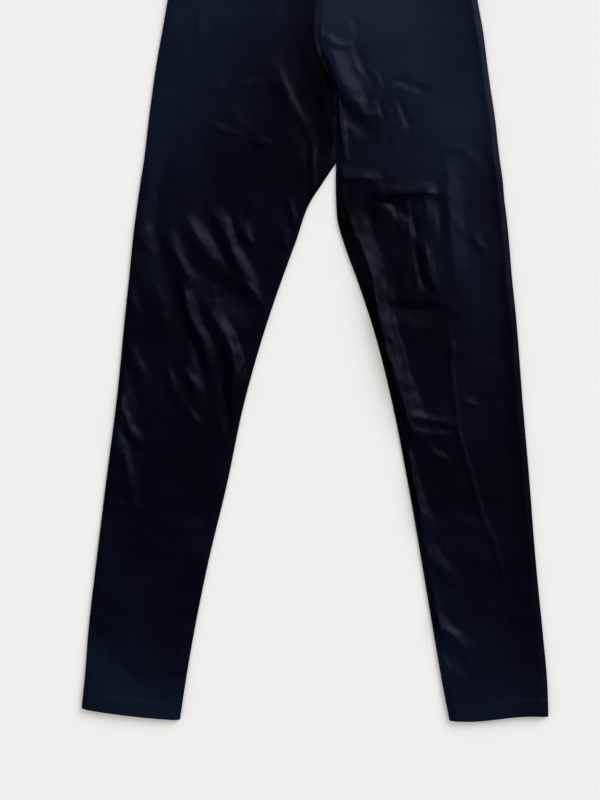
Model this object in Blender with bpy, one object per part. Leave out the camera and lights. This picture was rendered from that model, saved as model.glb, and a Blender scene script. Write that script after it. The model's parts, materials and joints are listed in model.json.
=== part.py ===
"""Leggings laid flat with the front up: a waistband and two legs, each leg one piece round front and back.

The garment lies on the XY plane with its waist towards +Y and its face towards +Z. The tables are
in millimetres from the crotch, where the inner edges of the legs meet. At the end everything is
moved so that the origin is the middle of the bounding box, on the surface the garment lies on.
"""

import bmesh
import bpy
import numpy as np

MM = 0.001

# Cloth
CLOTH_WALL = 1.2 * MM  # one layer of stretch jersey
HEM_WALL = 2 * CLOTH_WALL  # the hem is turned up inside
BAND_WALL = 2.2 * MM  # the waistband is folded double
SEAM_GAP = 0.3 * MM  # between two pieces that are sewn together
HEM_DEPTH = 21 * MM
HEM_STEP = 0.8 * MM  # over which the turned-up edge thickens the wall
CLOSING = 26 * MM  # above the crotch, where the two layers draw together
CREASE_EASE = 16 * MM  # from the edges of a leg, where creases die away

# Fineness of the faceted cloth
TOP_STEPS = 12  # across the front layer
BACK_STEPS = 3  # across the back layer
QUARTER_STEPS = 2  # round each quarter of a side fold
TRUNK_ROWS = 10
LEG_ROWS = 27
BAND_ROWS = 3
CREASE_STEPS = 24  # along the smooth line of one crease

# Trunk, from the crotch up to the waist seam. up: height above the crotch; right, left: the side
# folds; front, back: the rise seams of the upper and the lower layer.
TRUNK = [
    dict(up=0, right=-234.5, front=0, back=0, left=200.0),
    dict(up=52, right=-228.5, front=-9, back=-4, left=194.0),
    dict(up=101, right=-222.0, front=-18, back=-8, left=187.0),
    dict(up=150, right=-213.5, front=-22, back=-11, left=180.5),
    dict(up=199, right=-205.0, front=-20, back=-13, left=172.0),
    dict(up=226, right=-200.0, front=-19, back=-14, left=167.0),
]

# Waistband, from the waist seam up to its top edge.
BAND = [
    dict(up=226, right=-200.0, left=167.0),
    dict(up=245, right=-196.0, left=163.0),
    dict(up=265, right=-191.0, left=158.0),
]

# Legs, from the crotch down to the hem. down: depth below the crotch at the middle of the leg;
# outer, inner: its two edges; slant: how much higher the outer edge lies than the inner one.
RIGHT_LEG = [
    dict(down=0, outer=-234.5, inner=0.0, slant=0),
    dict(down=22, outer=-238.0, inner=-15.0, slant=1),
    dict(down=46, outer=-241.5, inner=-31.0, slant=2),
    dict(down=94, outer=-247.5, inner=-49.0, slant=4),
    dict(down=144, outer=-252.5, inner=-67.5, slant=5),
    dict(down=192, outer=-257.5, inner=-84.0, slant=6),
    dict(down=289, outer=-267.0, inner=-112.0, slant=8),
    dict(down=387, outer=-279.5, inner=-133.0, slant=10),
    dict(down=485, outer=-291.5, inner=-156.5, slant=11),
    dict(down=583, outer=-302.5, inner=-176.0, slant=12),
    dict(down=631, outer=-306.0, inner=-184.0, slant=13),
    dict(down=671, outer=-310.0, inner=-190.0, slant=14),
]
LEFT_LEG = [
    dict(down=0, outer=200.0, inner=0.0, slant=0),
    dict(down=21, outer=203.0, inner=-0.5, slant=1),
    dict(down=45, outer=205.0, inner=0.0, slant=2),
    dict(down=70, outer=208.0, inner=2.0, slant=3),
    dict(down=95, outer=210.5, inner=9.0, slant=3),
    dict(down=143, outer=214.5, inner=26.5, slant=4),
    dict(down=192, outer=219.5, inner=43.0, slant=5),
    dict(down=289, outer=227.0, inner=68.0, slant=5),
    dict(down=388, outer=235.5, inner=87.5, slant=5),
    dict(down=485, outer=243.0, inner=104.5, slant=6),
    dict(down=583, outer=252.5, inner=121.0, slant=7),
    dict(down=632, outer=257.0, inner=129.5, slant=7),
    dict(down=677, outer=258.6, inner=138.0, slant=5),
]

# How thick the two layers lie together between creases, by height above the crotch.
LAY = [
    dict(up=-680, thick=8.0),
    dict(up=-640, thick=6.4),
    dict(up=-560, thick=3.8),
    dict(up=-100, thick=3.8),
    dict(up=190, thick=4.2),
    dict(up=226, thick=5.6),
    dict(up=265, thick=5.8),
]

# The largest creases of the front layer: points along each crest or trough, its height (a
# trough's is negative) and the half width of its slopes.
RIGHT_CREASES = [
    dict(line=[(-74, 140), (-47, 72), (-29, 37)], height=3.6, width=15),
    dict(line=[(-192, 30), (-203, -16), (-212, -61), (-207, -139)], height=-0.8, width=13),
    dict(line=[(-178, -62), (-162, -90), (-134, -128)], height=3.6, width=13),
    dict(line=[(-146, -54), (-121, -106), (-90, -170)], height=4.0, width=13),
    dict(line=[(-200, -80), (-187, -117), (-172, -187), (-150, -250)], height=3.2, width=13),
    dict(line=[(-150, -172), (-133, -204), (-121, -240), (-126, -304)], height=4.4, width=15),
    dict(line=[(-266, -290), (-250, -345), (-240, -415)], height=3.2, width=14),
    dict(line=[(-292, -590), (-262, -628), (-205, -655)], height=2.4, width=18),
]
LEFT_CREASES = [
    dict(line=[(17, 150), (30, 98), (44, 68), (60, 60)], height=4.4, width=14),
    dict(line=[(4, 128), (12, 60), (18, 4)], height=3.4, width=13),
    dict(line=[(12, -12), (60, -24), (128, -30)], height=3.8, width=14),
    dict(line=[(142, 4), (145, -72), (156, -156)], height=3.2, width=14),
    dict(line=[(44, -120), (66, -188), (97, -293), (116, -330)], height=4.4, width=14),
    dict(line=[(130, -184), (148, -288), (167, -390), (205, -508)], height=2.4, width=14),
    dict(line=[(84, -352), (98, -390), (124, -448)], height=3.6, width=13),
    dict(line=[(112, -518), (128, -557), (170, -592)], height=3.2, width=15),
]

# Colours and roughness of the finished cloth
JERSEY = (0.007, 0.009, 0.020, 1.0)
BAND_JERSEY = (0.009, 0.011, 0.023, 1.0)
CLOTH_ROUGHNESS = 0.85


def clear_scene():
    for thing in list(bpy.data.objects):
        bpy.data.objects.remove(thing, do_unlink=True)


def smooth_curve(keys, values, at):
    """Values on a smooth curve that passes through a table's rows and follows their slopes."""
    keys, values, at = (np.asarray(a, dtype=float) for a in (keys, values, at))
    slopes = np.gradient(values, keys)
    i = np.clip(np.searchsorted(keys, at, side="right") - 1, 0, len(keys) - 2)
    span = keys[i + 1] - keys[i]
    t = (at - keys[i]) / span
    return (
        (2 * t**3 - 3 * t**2 + 1) * values[i]
        + (t**3 - 2 * t**2 + t) * span * slopes[i]
        + (3 * t**2 - 2 * t**3) * values[i + 1]
        + (t**3 - t**2) * span * slopes[i + 1]
    )


def look_up(table, key, column, at):
    """One column of a table at a key between its rows, all in metres."""
    keys = [row[key] * MM for row in table]
    return float(smooth_curve(keys, [row[column] * MM for row in table], at))


def crease_lift(creases, x, y):
    """How far the creases raise the front layer: a bell across each line, dying away at its ends."""
    lift = np.zeros_like(x)
    for crease in creases:
        points = np.array(crease["line"]) * MM
        marks = np.arange(len(points))
        steps = np.linspace(0, marks[-1], CREASE_STEPS)
        line_x, line_y = (smooth_curve(marks, points[:, k], steps) for k in (0, 1))
        away = np.hypot(x[:, None] - line_x, y[:, None] - line_y)
        share = away.argmin(axis=1) / (CREASE_STEPS - 1)
        bell = np.exp(-((away.min(axis=1) / (crease["width"] * MM)) ** 2))
        lift += crease["height"] * MM * bell * np.sqrt(np.sin(np.pi * share).clip(0))
    return lift


def cloth_line(row, inset, creases):
    """Points round one row, set in from the outer face of the cloth.

    They run from the front seam or inner fold over the front to the outer fold, and back
    underneath. closing draws the front and back edges together into a fold, from 0 to 1.
    """
    radius = row["thick"] / 2
    reach = radius - inset  # of this face round a fold
    middle_side = row["closing"] * reach + (1 - row["closing"]) * radius
    quarter = np.linspace(0, np.pi / 2, QUARTER_STEPS + 1)
    outer_turn = np.linspace(np.pi / 2, -np.pi / 2, 2 * QUARTER_STEPS + 1)
    side = 1 if row["outer"] > row["front"] else -1
    bend = row["outer"] - side * radius  # centre of the outer fold

    front_edge = row["front"] + side * (radius - middle_side * np.cos(quarter))
    back_edge = row["back"] + side * (radius - middle_side * np.cos(quarter[::-1]))
    front = np.linspace(front_edge[-1], bend, TOP_STEPS + 1)[1:-1]
    back = np.linspace(bend, back_edge[0], BACK_STEPS + 1)[1:-1]
    x = np.concatenate([front_edge, front, bend + side * reach * np.cos(outer_turn), back, back_edge])

    draw = row["closing"] * reach * (1 - np.sin(quarter))
    z = np.concatenate([
        radius + reach - draw,
        np.full(len(front), radius + reach),
        radius + reach * np.sin(outer_turn),
        np.full(len(back), radius - reach),
        radius - reach + draw[::-1],
    ])
    inner = row["inner"]
    y = row["y"] + row["slant"] * ((x - inner) / (row["outer"] - inner) - 0.5)

    on_front = slice(len(front_edge), len(front_edge) + len(front))
    from_edge = np.minimum(abs(x - row["front"]), abs(x - row["outer"]))
    ease = np.clip(from_edge / CREASE_EASE, 0, 1) ** 2
    z[on_front] += (ease * crease_lift(creases, x, y))[on_front]
    return np.stack([x, y, z], axis=1)


def cloth_shell(name, rows, creases, colour):
    """A wall of cloth through its rows, open at both ends, and along the seams where rows are open."""
    outside = np.array([cloth_line(row, 0, creases) for row in rows])
    inside = np.array([cloth_line(row, row["wall"], creases) for row in rows])
    points = outside.shape[1]
    mesh = bmesh.new()
    faces_out = [[mesh.verts.new(p) for p in line] for line in outside]
    faces_in = [[mesh.verts.new(p) for p in line] for line in inside]

    for i in range(len(rows) - 1):
        for j in range(points - 1):
            for sheet in (faces_out, faces_in):
                mesh.faces.new((sheet[i][j], sheet[i][j + 1], sheet[i + 1][j + 1], sheet[i + 1][j]))
        if rows[i]["closing"] < 1:
            for j in (0, -1):
                mesh.faces.new((faces_out[i][j], faces_in[i][j], faces_in[i + 1][j], faces_out[i + 1][j]))
    for i in (0, -1):
        for j in range(points - 1):
            mesh.faces.new((faces_out[i][j], faces_out[i][j + 1], faces_in[i][j + 1], faces_in[i][j]))

    bmesh.ops.remove_doubles(mesh, verts=mesh.verts, dist=1e-6)
    bmesh.ops.recalc_face_normals(mesh, faces=mesh.faces)
    data = bpy.data.meshes.new(name)
    mesh.to_mesh(data)
    mesh.free()
    data.shade_smooth()
    data.materials.append(cloth_material(name, colour))
    piece = bpy.data.objects.new(name, data)
    bpy.context.collection.objects.link(piece)
    return piece


def cloth_material(name, colour):
    material = bpy.data.materials.new(name)
    material.use_nodes = True
    shader = material.node_tree.nodes["Principled BSDF"]
    shader.inputs["Base Color"].default_value = colour
    shader.inputs["Roughness"].default_value = CLOTH_ROUGHNESS
    shader.inputs["Metallic"].default_value = 0.0
    return material


def trunk_row(up, outer_name, side):
    """A row of one leg's piece above the crotch, open at the two rise seams."""
    front = look_up(TRUNK, "up", "front", up) + side * SEAM_GAP / 2
    return dict(
        y=up, slant=0, wall=CLOTH_WALL,
        thick=look_up(LAY, "up", "thick", up),
        outer=look_up(TRUNK, "up", outer_name, up),
        front=front, inner=front,
        back=look_up(TRUNK, "up", "back", up) + side * SEAM_GAP / 2,
        closing=max(0, 1 - up / CLOSING),
    )


def leg_row(table, down, side, wall):
    """A row of one leg's piece below the crotch, closed into a flattened tube."""
    inner = look_up(table, "down", "inner", down) + side * SEAM_GAP / 2
    return dict(
        y=-down, wall=wall, closing=1,
        slant=look_up(table, "down", "slant", down),
        thick=look_up(LAY, "up", "thick", -down),
        outer=look_up(table, "down", "outer", down),
        front=inner, back=inner, inner=inner,
    )


def leg(name, table, outer_name, side, creases):
    """One leg from the waist seam to its hem."""
    waist = TRUNK[-1]["up"] * MM
    hem = table[-1]["down"] * MM
    rows = [trunk_row(up, outer_name, side) for up in np.linspace(waist, 0, TRUNK_ROWS)]
    hem_edge = hem - HEM_DEPTH
    for down in np.linspace(0, hem_edge, LEG_ROWS)[1:]:
        rows.append(leg_row(table, down, side, CLOTH_WALL))
    for down in (hem_edge + HEM_STEP, hem):
        rows.append(leg_row(table, down, side, HEM_WALL))
    return cloth_shell(name, rows, creases, JERSEY)


def waistband():
    """The plain band round the waist, a flattened ring."""
    bottom = BAND[0]["up"] * MM + SEAM_GAP
    rows = []
    for up in np.linspace(BAND[-1]["up"] * MM, bottom, BAND_ROWS):
        left = look_up(BAND, "up", "left", up)
        rows.append(dict(
            y=up, slant=0, wall=BAND_WALL, closing=1,
            thick=look_up(LAY, "up", "thick", up),
            outer=look_up(BAND, "up", "right", up),
            front=left, back=left, inner=left,
        ))
    return cloth_shell("waistband", rows, [], BAND_JERSEY)


def centre_on_box(pieces):
    """Move every piece so that the middle of the whole box is at the origin, seen from above."""
    corners = np.array([v.co[:] for piece in pieces for v in piece.data.vertices])
    middle = (corners.min(axis=0) + corners.max(axis=0)) / 2
    for piece in pieces:
        piece.location = (-middle[0], -middle[1], 0)
    return middle


clear_scene()
pieces = [
    leg("right_leg", RIGHT_LEG, "right", -1, RIGHT_CREASES),
    leg("left_leg", LEFT_LEG, "left", 1, LEFT_CREASES),
    waistband(),
]
middle = centre_on_box(pieces)
print("The crotch is at x, y in metres:", -middle[0], -middle[1])
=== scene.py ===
import json
import math

import bpy
import numpy as np
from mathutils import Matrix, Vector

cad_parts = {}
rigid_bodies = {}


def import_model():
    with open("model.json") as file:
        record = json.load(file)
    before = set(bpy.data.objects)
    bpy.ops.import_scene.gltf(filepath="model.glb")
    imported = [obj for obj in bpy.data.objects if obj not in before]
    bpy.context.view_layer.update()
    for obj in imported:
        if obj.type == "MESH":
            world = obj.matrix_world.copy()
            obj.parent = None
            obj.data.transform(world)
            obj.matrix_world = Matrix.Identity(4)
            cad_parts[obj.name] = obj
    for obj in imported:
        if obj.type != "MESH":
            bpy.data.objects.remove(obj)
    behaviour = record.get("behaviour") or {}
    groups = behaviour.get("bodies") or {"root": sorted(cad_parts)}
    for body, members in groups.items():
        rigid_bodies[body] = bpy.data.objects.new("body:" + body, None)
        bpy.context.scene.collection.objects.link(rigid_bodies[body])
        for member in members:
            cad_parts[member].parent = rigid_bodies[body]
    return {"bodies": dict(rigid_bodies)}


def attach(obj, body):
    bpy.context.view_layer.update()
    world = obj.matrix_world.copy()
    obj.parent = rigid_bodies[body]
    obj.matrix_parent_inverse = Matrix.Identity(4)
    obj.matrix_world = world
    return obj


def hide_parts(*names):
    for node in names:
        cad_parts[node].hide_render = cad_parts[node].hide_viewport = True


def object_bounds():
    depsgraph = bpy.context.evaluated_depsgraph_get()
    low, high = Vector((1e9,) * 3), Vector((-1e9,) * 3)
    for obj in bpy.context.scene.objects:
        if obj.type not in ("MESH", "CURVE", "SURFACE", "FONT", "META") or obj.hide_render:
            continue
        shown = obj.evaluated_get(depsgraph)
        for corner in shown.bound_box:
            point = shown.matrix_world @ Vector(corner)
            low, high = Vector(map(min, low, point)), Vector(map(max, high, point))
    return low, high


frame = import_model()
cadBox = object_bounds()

# Leggings laid flat with the front up. Tables are in millimetres from the crotch, where the inner
# edges of the legs meet: x towards the wearer's left leg, y towards the waist, z up off the surface.

mm = 0.001
body = next(iter(frame["bodies"]))
crotchPlace = (310.0, 679.5)  # from the corner of the solids' box beside the right leg's hem
crotch = np.array([cadBox[0][0] + crotchPlace[0] * mm, cadBox[0][1] + crotchPlace[1] * mm, 0.0])

cloth = dict(
    wall=0.8,  # one layer of jersey
    hemWall=1.7,  # the hem, turned up inside
    hemDepth=21.0,
    loft=0.5,  # how much higher the middle of the front layer lies than its edges
    slack=1.3,  # how high the front layer lies off the back one between creases
    sink=0.75,  # share of a trough that goes below the resting height
    clearance=0.3,  # between the two layers under the deepest trough
    printThrough=0.3,  # share of a back crease that shows on the front
    seamGap=0.1,  # between two legs at a rise seam
    seamDip=0.5,  # how deep the rise seam sinks
    seamDipWidth=1.1,
    seamFade=(50.0, 130.0),  # heights between which the rise seam's dip grows
    allowance=0.3,  # ridge of the seam allowance, pressed to one side
    allowanceAt=4.0,
    allowanceWidth=3.0,
    closing=26.0,  # above the crotch, where front and back layer draw together
    outerEase=5.0,  # from a side fold, where creases die away
    innerEase=7.0,
    seamEase=2.5,
)


# Tables and curves


def smoothCurve(keys, values, at):
    # A cubic through the rows of a table: at each row its slope is the one between its neighbours
    keys, values, at = (np.asarray(a, dtype=float) for a in (keys, values, at))
    slopes = np.gradient(values, keys, axis=0)
    i = np.clip(np.searchsorted(keys, at, side="right") - 1, 0, len(keys) - 2)
    span = keys[i + 1] - keys[i]
    t = (at - keys[i]) / span
    if values.ndim > 1:
        span, t = span[:, None], t[:, None]
    return (
        (2 * t**3 - 3 * t**2 + 1) * values[i]
        + (t**3 - 2 * t**2 + t) * span * slopes[i]
        + (3 * t**2 - 2 * t**3) * values[i + 1]
        + (t**3 - t**2) * span * slopes[i + 1]
    )


def lookUp(table, key, column, at):
    # One column of a table at keys between its rows
    return smoothCurve([row[key] for row in table], [row[column] for row in table], at)


def smoothStep(low, high, value):
    # 0 below low, 1 above high, 3t² - 2t³ between
    t = np.clip((value - low) / (high - low), 0, 1)
    return t * t * (3 - 2 * t)


def ripple(x, y, seed, pitch, turn, spread=0.4, bend=0.5):
    # Soft uneven wrinkles, about -1 to 1: seven sines across nearly the same direction, whose
    # lengths differ, each bent by a slower wave
    rng = np.random.default_rng(seed)
    total = np.zeros(np.broadcast(x, y).shape)
    for k in range(7):
        angle = turn + rng.normal(0, spread)
        length = pitch * rng.uniform(0.7, 1.7)
        shift, sway = rng.uniform(0, 2 * math.pi, 2)
        across = x * math.cos(angle) + y * math.sin(angle)
        beside = y * math.cos(angle) - x * math.sin(angle)
        wave = bend * np.sin(beside * 2 * math.pi / (length * rng.uniform(2.5, 5)) + sway)
        total += np.sin(across * 2 * math.pi / length + shift + 2 * wave) * rng.uniform(0.5, 1)
    return total / 2.6


# Camera, straight above, as high as its lens needs for the stretch of garment in view

shot = dict(centre=(-44.0, -289.0), height=976.0, lens=62.0, sensor=36.0)


def addCamera():
    data = bpy.data.cameras.new("camera")
    data.lens, data.sensor_width = shot["lens"], shot["sensor"]
    data.clip_end = 50
    camera = bpy.data.objects.new("camera", data)
    bpy.context.scene.collection.objects.link(camera)
    distance = shot["lens"] * shot["height"] * mm / shot["sensor"]
    camera.location = (crotch[0] + shot["centre"][0] * mm, crotch[1] + shot["centre"][1] * mm, distance)
    bpy.context.scene.camera = camera


addCamera()
print("camera placed")

# Outline

trunkTable = [
    # up: height above the crotch; right, left: side folds; front, back: rise seams of the two layers
    dict(up=0, right=-234.5, front=0, back=0, left=200.0),
    dict(up=25, right=-231.5, front=0.5, back=-2, left=197.0),
    dict(up=52, right=-228.5, front=1, back=-4, left=194.0),
    dict(up=80, right=-224.8, front=0, back=-6.6, left=189.9),
    dict(up=95, right=-222.8, front=-2.5, back=-8, left=187.6),
    dict(up=108, right=-220.9, front=-6, back=-8.5, left=185.9),
    dict(up=120, right=-219.0, front=-10.5, back=-9, left=184.3),
    dict(up=134, right=-216.7, front=-18, back=-9.9, left=182.5),
    dict(up=154, right=-213.0, front=-22, back=-11, left=180.0),
    dict(up=199, right=-205.0, front=-20.5, back=-13, left=172.0),
    dict(up=226, right=-200.0, front=-19, back=-14, left=167.0),
]
rightTable = [
    # down: depth below the crotch at the middle of the leg; outer, inner: its edges; slant: how
    # much higher the outer edge lies; seam: how far inside the inner edge the inseam runs
    dict(down=0, outer=-234.5, inner=0.0, slant=0, seam=0),
    dict(down=22, outer=-238.0, inner=-15.0, slant=1, seam=2),
    dict(down=46, outer=-241.5, inner=-31.0, slant=2, seam=4),
    dict(down=94, outer=-247.5, inner=-49.0, slant=4, seam=6),
    dict(down=144, outer=-252.5, inner=-67.5, slant=5, seam=7),
    dict(down=192, outer=-257.5, inner=-84.0, slant=6, seam=8),
    dict(down=289, outer=-267.0, inner=-112.0, slant=8, seam=12),
    dict(down=387, outer=-279.5, inner=-133.0, slant=10, seam=14),
    dict(down=485, outer=-291.5, inner=-156.5, slant=11, seam=16),
    dict(down=583, outer=-302.5, inner=-176.0, slant=12, seam=18),
    dict(down=631, outer=-306.0, inner=-184.0, slant=13, seam=19),
    dict(down=671, outer=-310.0, inner=-190.0, slant=14, seam=20),
]
leftTable = [
    dict(down=0, outer=200.0, inner=0.0, slant=0, seam=0),
    dict(down=21, outer=203.0, inner=-0.5, slant=1, seam=3),
    dict(down=45, outer=205.0, inner=0.0, slant=2, seam=6),
    dict(down=70, outer=208.0, inner=2.0, slant=3, seam=9),
    dict(down=95, outer=210.5, inner=9.0, slant=3, seam=8),
    dict(down=143, outer=214.5, inner=26.5, slant=4, seam=7),
    dict(down=192, outer=219.5, inner=43.0, slant=5, seam=6),
    dict(down=289, outer=227.0, inner=68.0, slant=5, seam=4),
    dict(down=388, outer=235.5, inner=87.5, slant=5, seam=3.5),
    dict(down=485, outer=243.0, inner=104.5, slant=6, seam=3.5),
    dict(down=583, outer=252.5, inner=121.0, slant=7, seam=3.5),
    dict(down=632, outer=257.0, inner=129.5, slant=7, seam=3.5),
    dict(down=677, outer=258.6, inner=138.0, slant=5, seam=3.5),
]
bandTable = [
    dict(up=226, right=-200.0, left=167.0),
    dict(up=245, right=-196.0, left=163.0),
    dict(up=265, right=-191.0, left=158.0),
]
layTable = [
    # thick: how thick the side folds are, by height above the crotch
    dict(up=-682, thick=5.8),
    dict(up=-650, thick=5.2),
    dict(up=-600, thick=4.0),
    dict(up=-520, thick=3.4),
    dict(up=-100, thick=3.3),
    dict(up=180, thick=3.6),
    dict(up=226, thick=5.2),
    dict(up=268, thick=5.6),
]

waistSeam = trunkTable[-1]["up"]

# Creases of the front layer
# line: points down the middle of the slope that faces the waist and the wearer's left, as x, y and
# the height of the crest, which is negative for a trough; the line runs downwards or to the right.
# lit: how wide that slope is; shade: how wide the other one is

rightCreases = [
    dict(line=[(-168, 172, 0.4), (-123, 184, 1.4), (-80, 199, 0.6)], lit=24, shade=11),
    dict(line=[(-165, 184, 0.3), (-161, 162, 1.0), (-159, 140, 0.2)], lit=9, shade=5),
    dict(line=[(-72, 122, 0.2), (-58, 92, 0.6), (-46, 68, 0.7), (-32, 42, 0.9),
               (-22, 22, 0.5)], lit=6, shade=13),
    dict(line=[(-27, 18, 0.6), (-27, -17, 1.4), (-30, -42, 0.3)], lit=3.5, shade=3),
    dict(line=[(-36, 140, -0.3), (-30, 105, -1.7), (-24, 60, -2.1), (-15, 22, -1.0)], lit=18, shade=20),
    dict(line=[(-56, -43, 0.4), (-51, -62, 1.6), (-48, -80, 0.3)], lit=5, shade=4),
    dict(line=[(-61, -80, 0.3), (-60, -93, 1.4), (-58, -107, 0.3)], lit=5, shade=4),
    dict(line=[(-180, -60, 0.4), (-171, -76, 2.8), (-162, -90, 4.2),
               (-137, -124, 1.0)], lit=13, shade=9),
    dict(line=[(-147, -52, 0.5), (-133, -77, 2.8), (-122, -106, 3.4), (-108, -132, 3.2),
               (-94, -158, 0.8)], lit=11, shade=8),
    dict(line=[(-112, -143, 0.5), (-102, -156, 2.0), (-90, -171, 0.4)], lit=7, shade=6),
    dict(line=[(-115, -66, 0.4), (-107, -88, 2.0), (-100, -98, 0.3)], lit=7, shade=5),
    dict(line=[(-201, -80, 0.4), (-188, -115, 3.2), (-172, -142, 0.8)], lit=10, shade=7),
    dict(line=[(-238, -74, 0.3), (-228, -95, 1.6), (-216, -114, 0.3)], lit=9, shade=7),
    dict(line=[(-158, 50, 0.2), (-136, 42, 1.2), (-114, 34, 0.2)], lit=6, shade=4),
    dict(line=[(-102, 29, 0.2), (-90, 28, 1.0), (-77, 26, 0.2)], lit=5, shade=4),
    dict(line=[(-158, 88, 0.2), (-147, 92, 0.8), (-136, 95, 0.2)], lit=5, shade=4),
    dict(line=[(-127, 94, 0.2), (-105, 98, 0.9), (-84, 100, 0.2)], lit=5, shade=4),
    dict(line=[(-191, 32, -0.2), (-203, -16, -1.5), (-211, -61, -1.8),
               (-207, -142, -0.3)], lit=12, shade=12),
    dict(line=[(-184, -140, 0.5), (-172, -187, 3.2), (-159, -214, 3.2),
               (-149, -250, 0.5)], lit=10, shade=7),
    dict(line=[(-151, -173, 0.5), (-133, -204, 3.8), (-121, -231, 5.0), (-117, -262, 4.6),
               (-124, -300, 0.8)], lit=12, shade=9),
    dict(line=[(-172, -204, -0.3), (-160, -246, -1.7), (-153, -290, -0.3)], lit=8, shade=7),
    dict(line=[(-178, -114, -0.5), (-150, -137, -2.4), (-122, -152, -2.8),
               (-92, -180, -0.8)], lit=9, shade=20),
    dict(line=[(-212, -88, -0.3), (-201, -128, -1.6), (-190, -168, -2.2),
               (-176, -212, -0.5)], lit=8, shade=16),
    dict(line=[(-250, -122, -0.3), (-240, -150, -1.6), (-226, -184, -0.3)], lit=9, shade=9),
    dict(line=[(-135, -253, -0.3), (-130, -295, -1.5), (-123, -340, -0.3)], lit=7, shade=7),
    dict(line=[(-204, -246, 0.3), (-196, -268, 1.8), (-188, -290, 0.3)], lit=8, shade=5),
    dict(line=[(-186, -246, 0.3), (-174, -263, 1.9), (-161, -281, 0.3)], lit=7, shade=5),
    dict(line=[(-178, -299, 0.3), (-170, -309, 1.6), (-161, -319, 0.3)], lit=7, shade=5),
    dict(line=[(-250, -221, 0.3), (-240, -242, 2.0), (-230, -262, 0.3)], lit=9, shade=6),
    dict(line=[(-266, -274, 0.6), (-257, -298, 2.8), (-246, -323, 2.8),
               (-236, -343, 0.6)], lit=9, shade=7),
    dict(line=[(-269, -328, 0.6), (-253, -361, 2.6), (-241, -415, 0.4)], lit=10, shade=7),
    dict(line=[(-282, -408, 0.3), (-260, -413, 1.3), (-238, -416, 0.3)], lit=6, shade=5),
    dict(line=[(-253, -240, -0.2), (-244, -268, -1.5), (-237, -297, -0.2)], lit=7, shade=7),
    dict(line=[(-266, -315, -0.2), (-250, -335, -1.2), (-232, -353, -0.2)], lit=5, shade=6),
    dict(line=[(-296, -562, -0.6), (-275, -587, -2.0), (-258, -609, -2.2), (-234, -628, -2.0),
               (-200, -650, -0.6)], lit=15, shade=26),
]
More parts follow.
